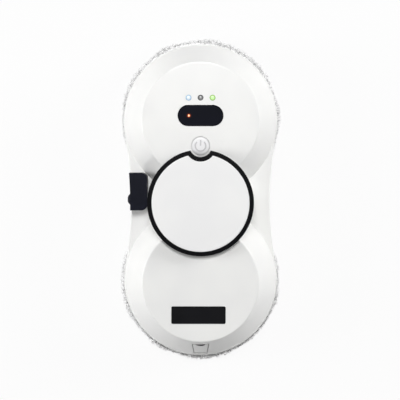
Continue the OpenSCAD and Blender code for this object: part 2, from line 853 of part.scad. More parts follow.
module fan_housing() {
    color("dimgray") {
        difference() {
            rod(fan_case_r, fan_case_z, fan_case_top_z);
            rod(fan_case_r - fan_wall, fan_case_z + fan_wall, fan_case_top_z + over);
            rod(inlet_r, fan_case_z - over, fan_case_z + 2 * fan_wall);
        }
        tube(fan_case_r - fan_wall / 2, fan_case_r - 2 * fan_wall, fan_mount_z - fan_wall,
            fan_mount_z);
        for (a = [30 : 120 : 270]) rotate(a) translate([fan_foot_reach, 0, 0])
            rod(fan_foot_r, floor_top_z, fan_case_z + fan_wall / 2);
    }
}

// Rim, cup for the motor and the vanes that straighten the air between them.
module fan_motor_mount() {
    rim_r = fan_case_r - fan_wall - seat_gap;
    cup_r = fan_motor_r + fan_mount_t;
    eye_r = fan_shaft_r + 2 * fan_mount_t;
    plate_z = fan_mount_z + fan_mount_t;
    cup_z = fan_motor_z + fan_motor_h / 2;
    color("gray") {
        tube(rim_r, rim_r - fan_mount_rim, fan_mount_z, plate_z);
        rotate_extrude() polygon([
            [eye_r, fan_mount_z], [cup_r, fan_mount_z], [cup_r, cup_z],
            [fan_motor_r + seat_gap, cup_z], [fan_motor_r + seat_gap, plate_z], [eye_r, plate_z]
        ]);
        for (i = [0 : vane_count - 1]) rotate(360 * (i + 0.5) / vane_count)
            translate([cup_r - fan_mount_t / 2, -vane_t / 2, fan_mount_z])
                cube([rim_r - cup_r + (fan_mount_t - fan_mount_rim) / 2, vane_t, fan_mount_t]);
    }
}

module fan_motor() {
    color("silver") difference() {
        rod(fan_motor_r, fan_motor_z, fan_motor_z + fan_motor_h);
        rod(fan_shaft_r + run_gap, fan_motor_z - over, fan_motor_z + fan_motor_h / 2);
    }
}

module fan_shaft() {
    color("silver") {
        rod(fan_shaft_r, blade_z + back_t, fan_motor_z + fan_motor_h / 2 - run_gap);
        rod(impeller_hub_r / 2, blade_z + back_t / 2, blade_z + 2 * back_t);
    }
}

// One blade bends back as it runs out from the eye to the rim.
function blade_edge(side) = [
    for (i = [0 : blade_steps])
        let (
            step = side > 0 ? i : blade_steps - i,
            r = blade_root_r + (impeller_r - blade_t / 2 - blade_root_r) * step / blade_steps
        )
            polar(r, side * blade_t / (2 * r) * 180 / PI - blade_sweep * (step / blade_steps)^1.2)
];

module impeller() {
    back_z = blade_z + blade_h;
    color("darkgray") {
        tube(impeller_r, fan_shaft_r + run_gap / 5, back_z, back_z + back_t);
        tube(impeller_hub_r, fan_shaft_r + run_gap / 5, blade_z + 2 * back_t, back_z + back_t / 2);
        translate([0, 0, blade_z]) linear_extrude(blade_h + back_t / 2)
            for (i = [0 : blade_count - 1]) rotate(360 * i / blade_count)
                polygon(concat(blade_edge(1), blade_edge(-1)));
    }
}

// Cleaning discs and their drive

module disc_carrier() {
    rim_in = carrier_r - 2 * carrier_t;
    color("lightgray") difference() {
        union() {
            rotate_extrude() polygon([
                [0, hub_z], [hub_r, hub_z], [hub_r, web_z], [suction_r - carrier_t, web_z],
                [suction_r - carrier_t, land_z], [carrier_r, land_z], [carrier_r, carrier_top_z],
                [rim_in, carrier_top_z], [rim_in, land_z + carrier_t],
                [suction_r, land_z + carrier_t], [suction_r, web_z + carrier_t],
                [hub_r, web_z + carrier_t], [hub_r, hub_top_z], [0, hub_top_z]
            ]);
            for (i = [0 : suction_slots - 1]) rotate(360 * i / suction_slots)
                translate([suction_r - rib_t, -rib_t / 2, land_z + carrier_t / 2])
                    cube([rim_in - suction_r + rib_t + carrier_t / 2, rib_t,
                        web_z + carrier_t / 2 - land_z]);
        }
        rod(spindle_r + run_gap / 5, hub_z - over, hub_top_z + over);
        suction_slot_places(suction_slots)
            translate([0, -suction_slot_w / 2, hub_z - over])
                cube([suction_slot_l, suction_slot_w, 3 * carrier_t]);
    }
}

// The ring-shaped cloth, wrapped round the carrier's edge and gathered on its top.
module cleaning_cloth() {
    in_r = carrier_r + soft_gap;
    out_r = in_r + cloth_t;
    under_z = land_z - run_gap;
    over_z = carrier_top_z + soft_gap;
    top_z = over_z + hem_t;
    round_r = cloth_t * 0.9;
    color("ghostwhite") rotate_extrude() polygon(concat(
        [[suction_r, 0]],
        arc_points([out_r - round_r, round_r], round_r, 270, 360, edge_steps),
        arc_points([out_r - hem_t, top_z - hem_t], hem_t, 0, 90, edge_steps),
        [[in_r - hem_w, top_z], [in_r - hem_w, over_z], [in_r, over_z], [in_r, under_z],
            [suction_r, under_z]]
    ));
}

module spindle() {
    color("silver") difference() {
        rod(spindle_r, hub_z, spindle_top_z);
        rod(screw_r + run_gap, hub_z - over, hub_z + 3 * hub_gap + screw_l / 2);
    }
}

module disc_screw() {
    head_h = land_z * 0.6;
    color("silver") {
        rod(spindle_r + wall / 2, hub_z - head_h, hub_z);
        rod(screw_r, hub_z - head_h / 2, hub_z + screw_l / 2);
    }
}

module spindle_gear() {
    color("ivory") difference() {
        union() {
            translate([0, 0, lower_gear_z]) linear_extrude(lower_face_w)
                polygon(gear_points(spindle_teeth, to_idler));
            rod(bearing_flange_r, bearing_top_z + seat_gap, lower_gear_z + over / 2);
        }
        rod(spindle_r + run_gap / 5, bearing_top_z - over, lower_gear_top_z + over);
        for (a = [0 : 60 : 300]) rotate(a) translate([spindle_pitch_r * 0.62, 0, 0])
            rod(spindle_pitch_r * 0.16, lower_gear_z - over, lower_gear_top_z + over);
    }
}

module idler_gear() {
    color("ivory") idler_place() difference() {
        union() {
            translate([0, 0, lower_gear_z]) linear_extrude(lower_face_w)
                polygon(gear_points(pinion_teeth, to_idler + 180 + 180 / pinion_teeth));
            rod(pinion_pitch_r - dedendum, lower_gear_z + over, upper_gear_z + over);
            translate([0, 0, upper_gear_z]) linear_extrude(upper_face_w)
                polygon(gear_points(idler_teeth, to_motor));
        }
        rod(axle_r + run_gap, lower_gear_z - over, upper_gear_top_z + over);
    }
}

module motor_pinion() {
    color("goldenrod") motor_place() {
        translate([0, 0, upper_gear_z]) linear_extrude(upper_face_w)
            polygon(gear_points(pinion_teeth, to_motor + 180 + 180 / pinion_teeth));
        rod(shaft_r, upper_gear_z + over, motor_z + motor_bore_l - run_gap);
    }
}

module drive_motor() {
    color("silver") motor_place() difference() {
        union() {
            rod(motor_r, motor_z, motor_top_z - wall);
            rod(motor_boss_r, gear_plate_z + run_gap, motor_z + over);
            rod(motor_r * 0.7, motor_z + over, motor_top_z);
        }
        rod(shaft_r + run_gap, gear_plate_z - over, motor_z + motor_bore_l);
    }
}

module gear_plate() {
    color("gray") difference() {
        translate([0, 0, gear_plate_z]) linear_extrude(gear_plate_t) hull() {
            for (p = gear_posts()) translate(p) circle(r = post_r, $fn = 32);
            translate([0, motor_reach]) circle(r = motor_r, $fn = 32);
            translate([idler_x, idler_y]) circle(r = axle_r + wall, $fn = 32);
        }
        motor_place() rod(motor_boss_r + seat_gap / 2, gear_plate_z - over, motor_z + over);
        idler_place() rod(axle_r + run_gap / 5, gear_plate_z - over, motor_z + over);
    }
}

module idler_axle() {
    color("silver") idler_place() rod(axle_r, floor_z + wall / 3, motor_z);
}

module bearing() {
    color("peru") {
        tube(bearing_r, spindle_r + run_gap, bearing_z, floor_top_z + over / 4);
        tube(bearing_flange_r, spindle_r + run_gap, floor_top_z, bearing_top_z);
    }
}

// A rubber lip under the floor that keeps the suction inside the disc.
module seal_ring() {
    color("darkslategray") tube(seal_r + seal_t, seal_r, web_z + carrier_t + soft_gap, floor_z);
}

module upper_disc_carrier() upper_disc_place() disc_carrier();
module lower_disc_carrier() lower_disc_place() disc_carrier();
module upper_cleaning_cloth() upper_disc_place() cleaning_cloth();
module lower_cleaning_cloth() lower_disc_place() cleaning_cloth();
module upper_spindle() upper_disc_place() spindle();
module lower_spindle() lower_disc_place() spindle();
module upper_spindle_gear() upper_disc_place() spindle_gear();
module lower_spindle_gear() lower_disc_place() spindle_gear();
module upper_disc_screw() upper_disc_place() disc_screw();
module lower_disc_screw() lower_disc_place() disc_screw();
module upper_idler_gear() upper_disc_place() idler_gear();
module lower_idler_gear() lower_disc_place() idler_gear();
module upper_motor_pinion() upper_disc_place() motor_pinion();
module lower_motor_pinion() lower_disc_place() motor_pinion();
module upper_drive_motor() upper_disc_place() drive_motor();
module lower_drive_motor() lower_disc_place() drive_motor();
module upper_gear_plate() upper_disc_place() gear_plate();
module lower_gear_plate() lower_disc_place() gear_plate();
module upper_idler_axle() upper_disc_place() idler_axle();
module lower_idler_axle() lower_disc_place() idler_axle();
module upper_bearing() upper_disc_place() bearing();
module lower_bearing() lower_disc_place() bearing();
module upper_seal_ring() upper_disc_place() seal_ring();
module lower_seal_ring() lower_disc_place() seal_ring();

// Backup battery

module battery_cells() {
    pitch = cell_r + cell_gap / 2;
    low_z = tray_z + tray_t + cell_r;
    color("steelblue") for (x = [-1, 1]) for (layer = [0, 1])
        translate([-cell_x + x * pitch, -disc_y - cell_l / 2, low_z + layer * 2 * pitch])
            rotate([-90, 0, 0]) cylinder(h = cell_l, r = cell_r);
}

module battery_tray() {
    half = 2 * cell_r + cell_gap + soft_gap;
    long_half = cell_l / 2 + soft_gap;
    color("darkgray") translate([-cell_x, -disc_y, tray_z]) difference() {
        translate([-half - tray_t, -long_half - tray_t, 0])
            cube([2 * (half + tray_t), 2 * (long_half + tray_t), tray_t + tray_lip]);
        translate([-half, -long_half, tray_t]) cube([2 * half, 2 * long_half, tray_lip + over]);
    }
}

// Power port

module port_pocket() {
    height = pocket_top_v - pocket_foot_v;
    outer_half = pocket_half + pocket_wall;
    color("lightgray") difference() {
        intersection() {
            on_slope() translate([-outer_half, pocket_foot_v - pocket_wall,
                pocket_back_w - pocket_wall])
                cube([2 * outer_half, height + 2 * pocket_wall,
                    pocket_wall - pocket_back_w]);
            translate([0, -lobe_y, 0]) lobe_hollow(seat_gap);
        }
        on_slope() {
            translate([-pocket_half, pocket_foot_v, pocket_back_w])
                cube([2 * pocket_half, height, over - pocket_back_w]);
            translate([0, inlet_v, 0])
                rod(inlet_body_r + seat_gap, pocket_back_w - 2 * pocket_wall, pocket_back_w + over);
        }
    }
}

module power_inlet() {
    back = pocket_back_w + inlet_flange_t - inlet_body_l;
    front = pocket_back_w + inlet_flange_t;
    color("black") on_slope() translate([0, inlet_v, 0]) {
        tube(inlet_body_r, inlet_bore_r, back + over, front);
        rod(inlet_body_r, back, front - inlet_bore_l);
        tube(inlet_flange_r, inlet_bore_r, pocket_back_w, front);
        rod(inlet_pin_r, back, front - inlet_flange_t);
    }
}

module flap_axis(r, half) {
    on_slope() translate([-half, flap_pivot_v, flap_pivot_w]) rotate([0, 90, 0])
        cylinder(h = 2 * half, r = r);
}

module flap_pin() color("silver") flap_axis(flap_pin_r, flap_foot_half + wall / 2);

// A trapezoid cut from the slope's own skin, with a crescent for a fingernail and a hinge barrel.
module port_flap() {
    nail_r = (nail_half^2 + nail_depth^2) / (2 * nail_depth);
    color("whitesmoke") difference() {
        union() {
            intersection() {
                difference() {
                    translate([0, -lobe_y, 0]) lobe_solid();
                    translate([0, -lobe_y, 0]) lobe_hollow();
                }
                on_slope() translate([0, 0, -2 * wall]) linear_extrude(4 * wall) difference() {
                    flap_outline(0);
                    translate([-2 * flap_top_half, -over])
                        square([4 * flap_top_half, flap_pivot_v + over]);
                    translate([0, flap_start + flap_l + nail_r - nail_depth]) circle(r = nail_r);
                }
            }
            flap_axis(barrel_r, flap_foot_half);
        }
        flap_axis(flap_pin_r + run_gap, flap_foot_half + over);
    }
}

// Spray unit

module spray_housing() {
    tank_l = spray_end_y - spray_wall - tank_start_y;
    tank_w = waist_half - spray_inner_x - 2 * spray_wall;
    color("midnightblue") difference() {
        union() {
            translate([0, 0, spray_z]) linear_extrude(seam_z + over - spray_z)
                spray_outline(0, wall + seat_gap);
            translate([0, 0, seam_z]) linear_extrude(spray_top_z - seam_z) spray_outline(0);
        }
        translate([plug_x, tank_start_y + tank_l / 2, 0])
            rounded_slab(tank_w, tank_l, spray_wall, spray_z + spray_wall, spray_top_z - spray_wall);
        translate([nozzle_x, nozzle_y, nozzle_z]) {
            rotate([0, 90, 0]) translate([0, 0, -2 * nozzle_r])
                cylinder(h = 2 * nozzle_r + nozzle_back_x - nozzle_x + mist_t, r = nozzle_r + run_gap);
        }
        translate([wick_x, nozzle_y - wick_r, nozzle_z]) rotate([-90, 0, 0])
            cylinder(h = tank_start_y - nozzle_y + wick_r + over, r = wick_r + seat_gap);
        translate([plug_x, plug_y, 0]) rod(plug_r + seat_gap / 2, spray_z - over, spray_z + 2 * spray_wall);
    }
}

module spray_nozzle() {
    color("black") translate([nozzle_x, nozzle_y, nozzle_z]) rotate([0, -90, 0])
        rotate_extrude() polygon(concat(
            [[nozzle_hole_r, nozzle_x - nozzle_back_x], [nozzle_r, nozzle_x - nozzle_back_x]],
            arc_points([0, 0], nozzle_r, 0, acos(nozzle_mouth_r / nozzle_r), nozzle_steps),
            [[nozzle_hole_r, nozzle_r - nozzle_hole_r]]
        ));
}

module mist_disc() {
    color("gold") translate([nozzle_back_x, nozzle_y, nozzle_z]) rotate([0, 90, 0])
        cylinder(h = mist_t, r = nozzle_r);
}

module wick() {
    color("ivory") translate([wick_x, nozzle_y - wick_r + seat_gap, nozzle_z])
        rotate([-90, 0, 0])
            cylinder(h = tank_start_y - nozzle_y + wick_r + 3 * spray_wall, r = wick_r);
}

module filler_plug() {
    color("gray") translate([plug_x, plug_y, 0]) {
        rod(plug_r, floor_z - plug_head_t / 2, floor_z + plug_l);
        rod(plug_head_r, floor_z - plug_head_t, floor_z);
    }
}

bottom_shell();
top_shell();
vent_ring();
fan_cover();
receiver_window();
standby_light();
left_indicator();
middle_indicator();
right_indicator();
dark_plate();
main_board();
board_components();
switch_case();
fan_housing();
fan_motor_mount();
fan_motor();
impeller();
fan_shaft();
upper_drive_motor();
lower_drive_motor();
upper_gear_plate();
lower_gear_plate();
upper_idler_axle();
lower_idler_axle();
upper_bearing();
lower_bearing();
upper_seal_ring();
lower_seal_ring();
battery_cells();
battery_tray();
port_pocket();
power_inlet();
flap_pin();
port_flap();
spray_housing();
spray_nozzle();
mist_disc();
wick();
filler_plug();
shell_screws();
board_screws();
upper_disc_carrier();
lower_disc_carrier();
upper_cleaning_cloth();
lower_cleaning_cloth();
upper_spindle();
lower_spindle();
upper_spindle_gear();
lower_spindle_gear();
upper_disc_screw();
lower_disc_screw();
upper_idler_gear();
lower_idler_gear();
upper_motor_pinion();
lower_motor_pinion();
power_button();
switch_plunger();
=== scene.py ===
# %% [markdown]
# # A window cleaning robot, dressed in Blender
# The robot lies on its two round cloths, with the vent ring and the spray unit up. Its solids
# come from the imported model, already in place and in metres, so a piece goes where they say.
# This lesson sets up the camera and a plain studio, gives every solid a finish of its own, and
# then makes what solids show badly: the looped pile of the cloths, the button and its symbol,
# and the flap, whose dark edge is painted shade for the gap round it.

# %% Load the frame
import json
import math
import random

import bmesh
import bpy
from mathutils import Matrix, Vector

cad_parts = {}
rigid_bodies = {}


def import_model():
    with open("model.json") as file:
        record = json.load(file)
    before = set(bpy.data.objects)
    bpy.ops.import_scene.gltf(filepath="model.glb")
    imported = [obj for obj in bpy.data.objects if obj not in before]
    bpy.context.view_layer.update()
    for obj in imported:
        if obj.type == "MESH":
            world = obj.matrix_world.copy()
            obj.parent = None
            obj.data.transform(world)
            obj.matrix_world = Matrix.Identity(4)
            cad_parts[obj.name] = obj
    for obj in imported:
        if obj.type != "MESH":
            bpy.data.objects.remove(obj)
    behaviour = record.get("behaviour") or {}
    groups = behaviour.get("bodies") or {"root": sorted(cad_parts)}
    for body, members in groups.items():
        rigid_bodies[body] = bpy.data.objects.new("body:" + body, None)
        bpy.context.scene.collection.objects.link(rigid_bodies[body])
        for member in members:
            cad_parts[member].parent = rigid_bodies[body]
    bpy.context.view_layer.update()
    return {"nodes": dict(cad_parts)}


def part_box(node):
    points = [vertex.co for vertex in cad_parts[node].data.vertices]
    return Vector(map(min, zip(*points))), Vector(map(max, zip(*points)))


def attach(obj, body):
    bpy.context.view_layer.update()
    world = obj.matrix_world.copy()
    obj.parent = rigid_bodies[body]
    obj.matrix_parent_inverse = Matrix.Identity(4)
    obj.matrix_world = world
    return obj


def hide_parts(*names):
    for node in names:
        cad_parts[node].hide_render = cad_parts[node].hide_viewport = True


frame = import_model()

# %% [markdown]
# ## Camera
# The photograph looks almost straight down, from a little over a metre. The flat tops stand
# 2 pixels lower in it than a true plan view would put them, so the camera leans by about
# 3 degrees. It could be aimed with a constraint, but one turn about X gives the same lean and
# keeps +Y up in the picture.

# %% Camera over the robot
MM = 0.001
camera_lean = math.radians(2.8)
camera_reach = 1.12
picture_width = 376.5 * MM
looked_at = Vector((-0.5, 0.6, 20)) * MM

camera_data = bpy.data.cameras.new("camera")
camera_data.sensor_fit = "HORIZONTAL"
camera_data.angle = 2 * math.atan(picture_width / 2 / camera_reach)
camera = bpy.data.objects.new("camera", camera_data)
bpy.context.scene.collection.objects.link(camera)
camera.location = looked_at + camera_reach * Vector(
    (0, math.sin(camera_lean), math.cos(camera_lean)))
camera.rotation_euler = (-camera_lean, 0, 0)
bpy.context.scene.camera = camera
bpy.context.scene.view_settings.view_transform = "Standard"
print("camera at", [round(c, 3) for c in camera.location])

# %% [markdown]
# ## Colours as they look on the screen
# Colours are read off the photograph as screen values from 0 to 255, but a shader takes linear
# light. One small function turns the first into the second, so the lists below stay readable.

# %% Screen colours
def screen(red, green, blue):
    """A screen colour, 0 to 255, as the linear colour that a shader takes."""
    def channel(value):
        value /= 255
        return value / 12.92 if value <= 0.04045 else ((value + 0.055) / 1.055) ** 2.4
    return (channel(red), channel(green), channel(blue), 1.0)


WHITE, BLACK = (1, 1, 1, 1), (0, 0, 0, 1)
print("shell white is", [round(c, 3) for c in screen(240, 240, 239)])

# %% [markdown]
# ## Table top
# The robot lies on a white table top. More light would make the table white, but the robot too
# bright. So the table's shader mixes a plain surface, which takes the robot's shadow, with a
# white glow that only the camera, reflections and glass see.

# %% Table top
table_half, table_drop, glow_share = 6, 0.3 * MM, 0.90
table_mesh = bpy.data.meshes.new("table_top")
table_shape = bmesh.new()
bmesh.ops.create_grid(table_shape, x_segments=1, y_segments=1, size=table_half)
bmesh.ops.translate(table_shape, verts=table_shape.verts, vec=(0, 0, -table_drop))
table_shape.to_mesh(table_mesh)
table_shape.free()
table_top = bpy.data.objects.new("table_top", table_mesh)
bpy.context.scene.collection.objects.link(table_top)
print("table top", table_top.name)


# %% Finish of the table top
def sums(nodes, links, operation, *inputs):
    """A maths node over the inputs, each of them a socket or a number."""
    node = nodes.new("ShaderNodeMath")
    node.operation = operation
    for socket, value in zip(node.inputs, inputs):
        if isinstance(value, float):
            socket.default_value = value
        else:
            links.new(value, socket)
    return node.outputs[0]


table_finish = bpy.data.materials.new("table_white")
table_finish.use_nodes = True
nodes, links = table_finish.node_tree.nodes, table_finish.node_tree.links
surface = nodes["Principled BSDF"]
surface.inputs["Base Color"].default_value = screen(236, 236, 236)
surface.inputs["Roughness"].default_value = 0.9
surface.inputs["Specular IOR Level"].default_value = 0.0
glow = nodes.new("ShaderNodeEmission")
glow.inputs["Color"].default_value = WHITE
ray = nodes.new("ShaderNodeLightPath").outputs
both = nodes.new("ShaderNodeMixShader")
seen = sums(nodes, links, "MAXIMUM", ray["Is Camera Ray"], ray["Is Glossy Ray"])
seen = sums(nodes, links, "MAXIMUM", seen, ray["Is Transmission Ray"])
links.new(sums(nodes, links, "MULTIPLY", seen, glow_share), both.inputs[0])
links.new(surface.outputs[0], both.inputs[1])
links.new(glow.outputs[0], both.inputs[2])
links.new(both.outputs[0], nodes["Material Output"].inputs["Surface"])
table_mesh.materials.append(table_finish)
print("table finish", table_finish.name)

# %% [markdown]
# ## Sky of the studio
# Beyond the table the camera sees plain white. As light, the sky is only dim, so that the
# slopes turned away from the lamps fall into shade, and in reflections it is a little brighter.

# %% Studio sky
dim_strength, mirrored_share = 0.11, 0.2
studio = bpy.data.worlds.new("studio")
bpy.context.scene.world = studio
studio.use_nodes = True
nodes, links = studio.node_tree.nodes, studio.node_tree.links
dim, bright = nodes["Background"], nodes.new("ShaderNodeBackground")
for background, strength in ((dim, dim_strength), (bright, 1.0)):
    background.inputs["Color"].default_value = WHITE
    background.inputs["Strength"].default_value = strength
ray = nodes.new("ShaderNodeLightPath").outputs
both = nodes.new("ShaderNodeMixShader")
seen = sums(nodes, links, "MAXIMUM", ray["Is Camera Ray"], ray["Is Transmission Ray"])
mirrored = sums(nodes, links, "MULTIPLY_ADD", ray["Is Glossy Ray"], mirrored_share, seen)
links.new(mirrored, both.inputs[0])
links.new(dim.outputs[0], both.inputs[1])
links.new(bright.outputs[0], both.inputs[2])
links.new(both.outputs[0], nodes["World Output"].inputs["Surface"])
print("studio sky", studio.name)

# %% [markdown]
# ## Soft boxes
# Three soft boxes light the robot: a low one on each side for the slopes, and a high one,
# leaning towards the upper end, for the flat tops. None stands at the lower end, so the slopes
# there fall into shade as in the photograph. The high one is small and leans far enough that
# the flat tops, which face the camera, don't mirror it.

# %% Three soft boxes
def soft_box(name, azimuth, elevation, reach, size, power):
    """A square area light that looks at the robot from azimuth and elevation, in degrees."""
    light = bpy.data.lights.new(name, "AREA")
    light.shape = "SQUARE"
    light.size = size
    light.energy = power
    lamp = bpy.data.objects.new(name, light)
    bpy.context.scene.collection.objects.link(lamp)
    turn, rise = math.radians(azimuth), math.radians(elevation)
    lamp.location = reach * Vector((
        math.cos(rise) * math.cos(turn), math.cos(rise) * math.sin(turn), math.sin(rise)))
    lamp.rotation_euler = (-lamp.location).to_track_quat("-Z", "Y").to_euler()
    return lamp


lamps = [
    soft_box("left_soft_box", azimuth=178, elevation=21, reach=1.6, size=0.7, power=14.7),
    soft_box("right_soft_box", azimuth=20, elevation=21, reach=1.6, size=0.6, power=13.0),
    soft_box("upper_soft_box", azimuth=92, elevation=71, reach=2.4, size=0.6, power=29.2),
]
print("lamps:", [(lamp.name, round(lamp.data.energy, 1)) for lamp in lamps])

# %% [markdown]
# ## How a finish is built
# Nothing on a moulded part is perfectly even. A finish here takes its colour from two close
# tones mixed by a broad noise, its gloss from a second noise, and a fine bump from a third.
# All three read Object coordinates, so the pattern is tied to the piece and keeps its size.

# %% Start of a finish
def start_finish(name, roughness):
    """A new material, its node tree and its shader."""
    finish = bpy.data.materials.new(name)
    finish.use_nodes = True
    shader = finish.node_tree.nodes["Principled BSDF"]
    shader.inputs["Roughness"].default_value = roughness
    return finish, finish.node_tree, shader


def grain(tree, size, detail=2.0, stretch=(1, 1, 1)):
    """Noise in Object coordinates whose lumps are about size metres across."""
    place = tree.nodes.new("ShaderNodeTexCoord")
    fit = tree.nodes.new("ShaderNodeMapping")
    fit.inputs["Scale"].default_value = stretch
    pattern = tree.nodes.new("ShaderNodeTexNoise")
    pattern.inputs["Scale"].default_value = 1 / size
    pattern.inputs["Detail"].default_value = detail
    tree.links.new(place.outputs["Object"], fit.inputs["Vector"])
    tree.links.new(fit.outputs["Vector"], pattern.inputs["Vector"])
    return pattern.outputs["Fac"]


print("a noise of 1 mm has the scale", 1 / MM)


# %% Tones and bumps
def tones(tree, factor, stops):
    """A colour ramp over factor; stops are (position, colour)."""
    ramp = tree.nodes.new("ShaderNodeValToRGB")
    points = ramp.color_ramp.elements
    while len(points) < len(stops):
        points.new(0.5)
    for point, (position, colour) in zip(points, stops):
        point.position = position
        point.color = colour
    tree.links.new(factor, ramp.inputs["Fac"])
    return ramp.outputs["Color"]


def paint(tree, shader, factor, stops):
    """Base colour of the shader, from a colour ramp over factor."""
    tree.links.new(tones(tree, factor, stops), shader.inputs["Base Color"])


def emboss(tree, shader, height, depth):
    """Bumps of that depth in metres, from a height between 0 and 1."""
    bump = tree.nodes.new("ShaderNodeBump")
    bump.inputs["Strength"].default_value = 1.0
    bump.inputs["Distance"].default_value = depth
    tree.links.new(height, bump.inputs["Height"])
    tree.links.new(bump.outputs["Normal"], shader.inputs["Normal"])


print("tones and bumps are ready")


# %% Uneven gloss
NOISE_LOW, NOISE_HIGH = 0.3, 0.7


def uneven_gloss(tree, shader, factor, low, high):
    """Roughness between low and high, following a noise that mostly lies in its middle."""
    remap = tree.nodes.new("ShaderNodeMapRange")
    remap.inputs["From Min"].default_value = NOISE_LOW
    remap.inputs["From Max"].default_value = NOISE_HIGH
    remap.inputs["To Min"].default_value = low
    remap.inputs["To Max"].default_value = high
    tree.links.new(factor, remap.inputs["Value"])
    tree.links.new(remap.outputs["Result"], shader.inputs["Roughness"])


print("noise from", NOISE_LOW, "to", NOISE_HIGH, "spans the whole gloss")

# %% [markdown]
# ## Plastics
# The housing is a bright white gloss plastic with a faint orange-peel skin. The ring, the plate
# and the spray unit are darker: the ring and the plate nearly black, the spray unit a blue
# black, all of them with a weaker shine than the housing. The port's pocket is a dark grey,
# painted shade for the recess behind the flap's gap. The gears are a waxy, slightly see-through
# acetal, which a little subsurface gives.

# %% Moulded plastic
def moulded(name, dark, light, gloss, skin, depth, coat=0.0, shine=0.5):
    """Plastic of two close tones; gloss is its roughness, and skin the size of its grain."""
    finish, tree, shader = start_finish(name, gloss[0])
    shader.inputs["Specular IOR Level"].default_value = shine
    paint(tree, shader, grain(tree, 50 * MM), [(0.35, screen(*dark)), (0.65, screen(*light))])
    uneven_gloss(tree, shader, grain(tree, 12 * MM, 3.0), *gloss)
    emboss(tree, shader, grain(tree, skin, 3.0), depth)
    shader.inputs["Coat Weight"].default_value = coat
    shader.inputs["Coat Roughness"].default_value = 0.12
    return finish


print("moulded plastics are ready")

# %% White and pale plastics
shell_white = moulded("shell_white", (238, 238, 237), (243, 243, 241), (0.28, 0.33),
                      skin=0.5 * MM, depth=0.002 * MM, coat=0.2)
cover_white = moulded("cover_white", (240, 240, 240), (244, 244, 243), (0.32, 0.37),
                      skin=0.5 * MM, depth=0.002 * MM, coat=0.1)
button_white = moulded("button_white", (236, 236, 237), (240, 240, 241), (0.30, 0.40),
                       skin=1.0 * MM, depth=0.004 * MM)
liner_pale = moulded("liner_pale", (214, 214, 210), (224, 224, 220), (0.45, 0.60),
                     skin=0.9 * MM, depth=0.02 * MM)
acetal = moulded("acetal", (232, 230, 220), (240, 239, 232), (0.35, 0.45),
                 skin=1.2 * MM, depth=0.01 * MM)
acetal_shader = acetal.node_tree.nodes["Principled BSDF"]
acetal_shader.inputs["Subsurface Weight"].default_value = 0.25
acetal_shader.inputs["Subsurface Scale"].default_value = 2 * MM
print("pale plastics:", [finish.name for finish in (
    shell_white, cover_white, button_white, liner_pale, acetal)])

# %% Dark plastics
ring_black = moulded("ring_black", (3, 3, 6), (6, 6, 10), (0.34, 0.44),
                     skin=0.8 * MM, depth=0.01 * MM, shine=0.08)
plate_black = moulded("plate_black", (5, 5, 9), (10, 10, 15), (0.40, 0.52),
                      skin=0.6 * MM, depth=0.012 * MM, shine=0.13)
spray_dark = moulded("spray_dark", (10, 12, 25), (17, 19, 34), (0.36, 0.48),
                     skin=0.8 * MM, depth=0.012 * MM, shine=0.11)
# The pocket's dark grey is painted shade for the recess behind the flap's gap.
pocket_painted_shade = moulded("pocket_painted_shade", (34, 34, 35), (42, 42, 43), (0.55, 0.65),
                      skin=0.9 * MM, depth=0.02 * MM, shine=0.2)
grey_moulding = moulded("grey_moulding", (108, 111, 115), (122, 125, 129), (0.45, 0.60),
                        skin=0.9 * MM, depth=0.02 * MM)
print("dark plastics:", [finish.name for finish in (
    ring_black, plate_black, spray_dark, pocket_painted_shade, grey_moulding)])

# %% [markdown]
# ## Metals, rubber and the rest inside
# Screws, spindles and motor cans are turned or drawn steel, so their grain runs round or along
# the axis: a noise squeezed along one direction gives such fine lines. The bearings are sintered
# bronze, full of tiny pores. The seal is matt rubber, and the battery cells wear a shrunk wrap.

# %% Metals
def turned_metal(name, dark, light, roughness, stretch):
    """Bare metal with fine lines; stretch squeezes the noise into lines."""
    finish, tree, shader = start_finish(name, roughness)
    shader.inputs["Metallic"].default_value = 1.0
    streaks = grain(tree, 1.2 * MM, 4.0, stretch)
    paint(tree, shader, streaks, [(NOISE_LOW, screen(*dark)), (NOISE_HIGH, screen(*light))])
    uneven_gloss(tree, shader, streaks, roughness - 0.06, roughness + 0.08)
    emboss(tree, shader, streaks, 0.01 * MM)
    return finish


steel = turned_metal("turned_steel", (176, 178, 182), (208, 209, 212), 0.26, (0.15, 0.15, 4))
bronze = turned_metal("sintered_bronze", (150, 112, 62), (184, 142, 84), 0.42, (1.5, 1.5, 1.5))
print("metals:", steel.name, bronze.name)

# %% Rubber, wrap and felt
ALONG_Y = (1, 0.2, 1)
# This dark rubber also serves as painted shade on the edge faces of the port flap.
rubber_and_gap_shade, tree, shader = start_finish("seal_rubber", 0.75)
paint(tree, shader, grain(tree, 4 * MM), [
    (NOISE_LOW, screen(30, 30, 31)), (NOISE_HIGH, screen(44, 44, 45))])
emboss(tree, shader, grain(tree, 0.5 * MM, 4.0), 0.03 * MM)

cell_wrap, tree, shader = start_finish("cell_wrap", 0.3)
paint(tree, shader, grain(tree, 20 * MM, 2.0, ALONG_Y), [
    (0.35, screen(52, 98, 150)), (0.65, screen(66, 116, 168))])
emboss(tree, shader, grain(tree, 3 * MM, 2.0, (1, 0.3, 1)), 0.04 * MM)

wick_felt, tree, shader = start_finish("wick_felt", 0.95)
paint(tree, shader, grain(tree, 0.6 * MM, 5.0, ALONG_Y), [
    (NOISE_LOW, screen(206, 200, 184)), (NOISE_HIGH, screen(236, 232, 220))])
emboss(tree, shader, grain(tree, 0.4 * MM, 5.0, ALONG_Y), 0.1 * MM)
print("rubber, wrap and felt:", rubber_and_gap_shade.name, cell_wrap.name, wick_felt.name)

# %% [markdown]
# ## Circuit board
# A board is green lacquer over copper. Where copper runs under the lacquer it looks lighter, in
# straight tracks with gaps between. A brick pattern of long narrow bricks draws such tracks, and
# its joints are the bare gaps. The chips on it are black with a dull, slightly rough top.

